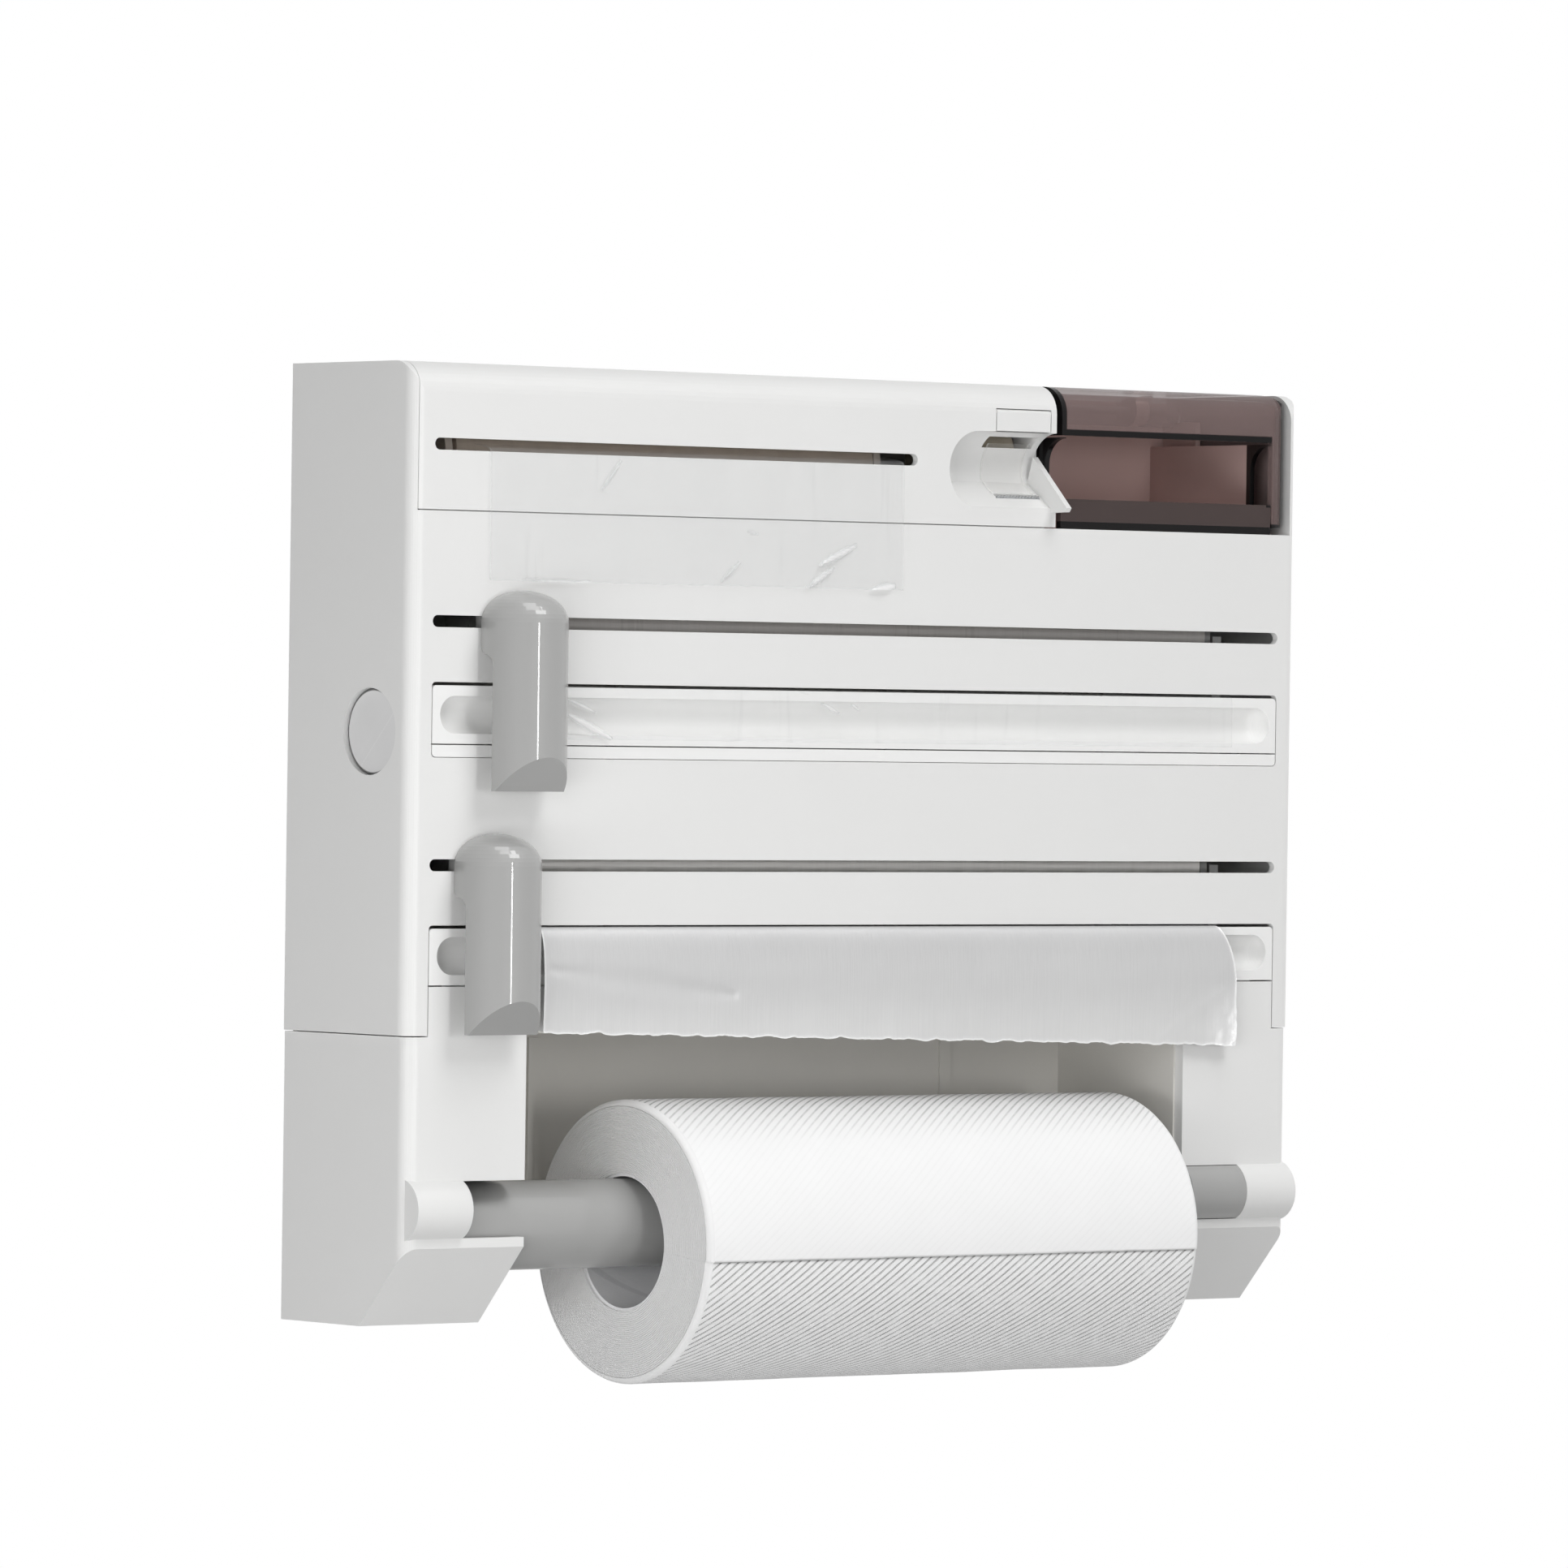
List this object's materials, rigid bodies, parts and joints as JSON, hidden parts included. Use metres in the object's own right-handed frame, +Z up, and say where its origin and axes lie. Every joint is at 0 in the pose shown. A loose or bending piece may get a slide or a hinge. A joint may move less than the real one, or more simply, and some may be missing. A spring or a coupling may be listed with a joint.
{
  "type": "wall-mounted kitchen roll dispenser",
  "caption": "Wall dispenser for paper, foil, film and bag rolls, with sliding cutters, tape unit, smoked bin, release buttons and a telescopic roll rod.",
  "frame": {"origin": "centre of the four wall screws, on the wall plane behind the wall plate", "axes": "+X to the viewer's right, +Y into the wall, +Z up"},
  "size_m": [0.39, 0.1017, 0.3424],
  "materials": {
    "white_plastic": "satin moulded",
    "grey_plastic": "gloss",
    "smoked_plastic": "clear smoked",
    "steel": "bright",
    "cardboard": "matt",
    "paper": "embossed",
    "film": "clear film",
    "foil": "bright rolled",
    "bag_film": "clear film",
    "tape": "clear tape"
  },
  "bodies": {
    "chassis": {"wall_plate": "grey_plastic", "lower_base": "white_plastic", "bay_liner": "grey_plastic", "foil_trough": "white_plastic", "left_bracket": "white_plastic", "right_bracket": "white_plastic", "bag_bracket": "white_plastic", "frame_screws": "steel", "left_latch": "steel", "right_latch": "steel", "rod_sleeve": "grey_plastic", "rod_spring": "steel"},
    "rod": {"rod_tube": "grey_plastic"},
    "kitchen_roll": {"paper_roll": "paper", "paper_core": "cardboard"},
    "film_roll": {"film_winding": "film", "film_core": "cardboard", "film_plugs": "grey_plastic"},
    "foil_roll": {"foil_winding": "foil", "foil_core": "cardboard", "foil_plugs": "grey_plastic"},
    "bag_roll": {"bag_winding": "bag_film", "bag_core": "cardboard", "bag_plugs": "grey_plastic"},
    "cover": {"front_cover": "white_plastic", "film_trough": "white_plastic", "cut_strip": "white_plastic", "film_sheet": "film", "foil_sheet": "foil", "lid_pin": "steel", "hood_pin": "steel", "bin_tray": "smoked_plastic", "left_spring": "steel", "right_spring": "steel"},
    "lid": {"top_lid": "white_plastic", "tape_blade": "steel", "tape_strip": "tape", "bag_sheet": "bag_film"},
    "tape_roll": {"tape_reel": "grey_plastic", "tape_winding": "tape"},
    "hatch": {"tape_hatch": "white_plastic"},
    "hood": {"bin_hood": "smoked_plastic"},
    "film_cutter": {"upper_cutter": "grey_plastic", "upper_carriage": "white_plastic", "upper_blade": "steel"},
    "foil_cutter": {"lower_cutter": "grey_plastic", "lower_carriage": "white_plastic", "lower_blade": "steel"},
    "button_left": {"left_button": "white_plastic"},
    "button_right": {"right_button": "white_plastic"}
  },
  "joints": [
    {"name": "cover_pull", "type": "slide", "parent": "chassis", "child": "cover", "axis": [0, -1, 0], "range_m": [0, 0.12], "deforming": ["left_latch", "right_latch"]},
    {"name": "lid_swing", "type": "hinge", "parent": "cover", "child": "lid", "pos_m": [0, -0.012, 0.1335], "axis": [-1, 0, 0], "range_deg": [0, 92]},
    {"name": "hatch_swing", "type": "hinge", "parent": "lid", "child": "hatch", "pos_m": [0.068, -0.0679, 0.1292], "axis": [-1, 0, 0], "range_deg": [0, 75]},
    {"name": "hood_swing", "type": "hinge", "parent": "cover", "child": "hood", "pos_m": [0.138, -0.012, 0.1335], "axis": [-1, 0, 0], "range_deg": [0, 92]},
    {"name": "tape_spin", "type": "hinge", "parent": "lid", "child": "tape_roll", "pos_m": [0.0685, -0.0335, 0.1125], "axis": [1, 0, 0], "continuous": true},
    {"name": "film_cutter_slide", "type": "slide", "parent": "cover", "child": "film_cutter", "axis": [1, 0, 0], "range_m": [-0.0225, 0.327]},
    {"name": "foil_cutter_slide", "type": "slide", "parent": "cover", "child": "foil_cutter", "axis": [1, 0, 0], "range_m": [-0.0128, 0.337]},
    {"name": "left_button_press", "type": "slide", "parent": "cover", "child": "button_left", "axis": [1, 0, 0], "range_m": [0, 0.003], "stiffness_N_per_m": 400, "springref_m": -0.003, "deforming": ["left_spring", "left_latch"]},
    {"name": "right_button_press", "type": "slide", "parent": "cover", "child": "button_right", "axis": [-1, 0, 0], "range_m": [0, 0.003], "stiffness_N_per_m": 400, "springref_m": -0.003, "deforming": ["right_spring", "right_latch"]},
    {"name": "rod_press", "type": "slide", "parent": "chassis", "child": "rod", "axis": [1, 0, 0], "range_m": [0, 0.026], "stiffness_N_per_m": 300, "springref_m": -0.015, "deforming": ["rod_spring"]},
    {"name": "kitchen_roll_spin", "type": "hinge", "parent": "chassis", "child": "kitchen_roll", "pos_m": [0.0172, -0.0532, -0.15486], "axis": [1, 0, 0], "continuous": true},
    {"name": "film_roll_spin", "type": "hinge", "parent": "chassis", "child": "film_roll", "pos_m": [0.012, -0.036, 0.0531], "axis": [1, 0, 0], "continuous": true},
    {"name": "foil_roll_spin", "type": "hinge", "parent": "chassis", "child": "foil_roll", "pos_m": [0.012, -0.036, -0.0276], "axis": [1, 0, 0], "continuous": true},
    {"name": "bag_roll_spin", "type": "hinge", "parent": "chassis", "child": "bag_roll", "pos_m": [-0.0755, -0.036, 0.1097], "axis": [1, 0, 0], "continuous": true}
  ]
}
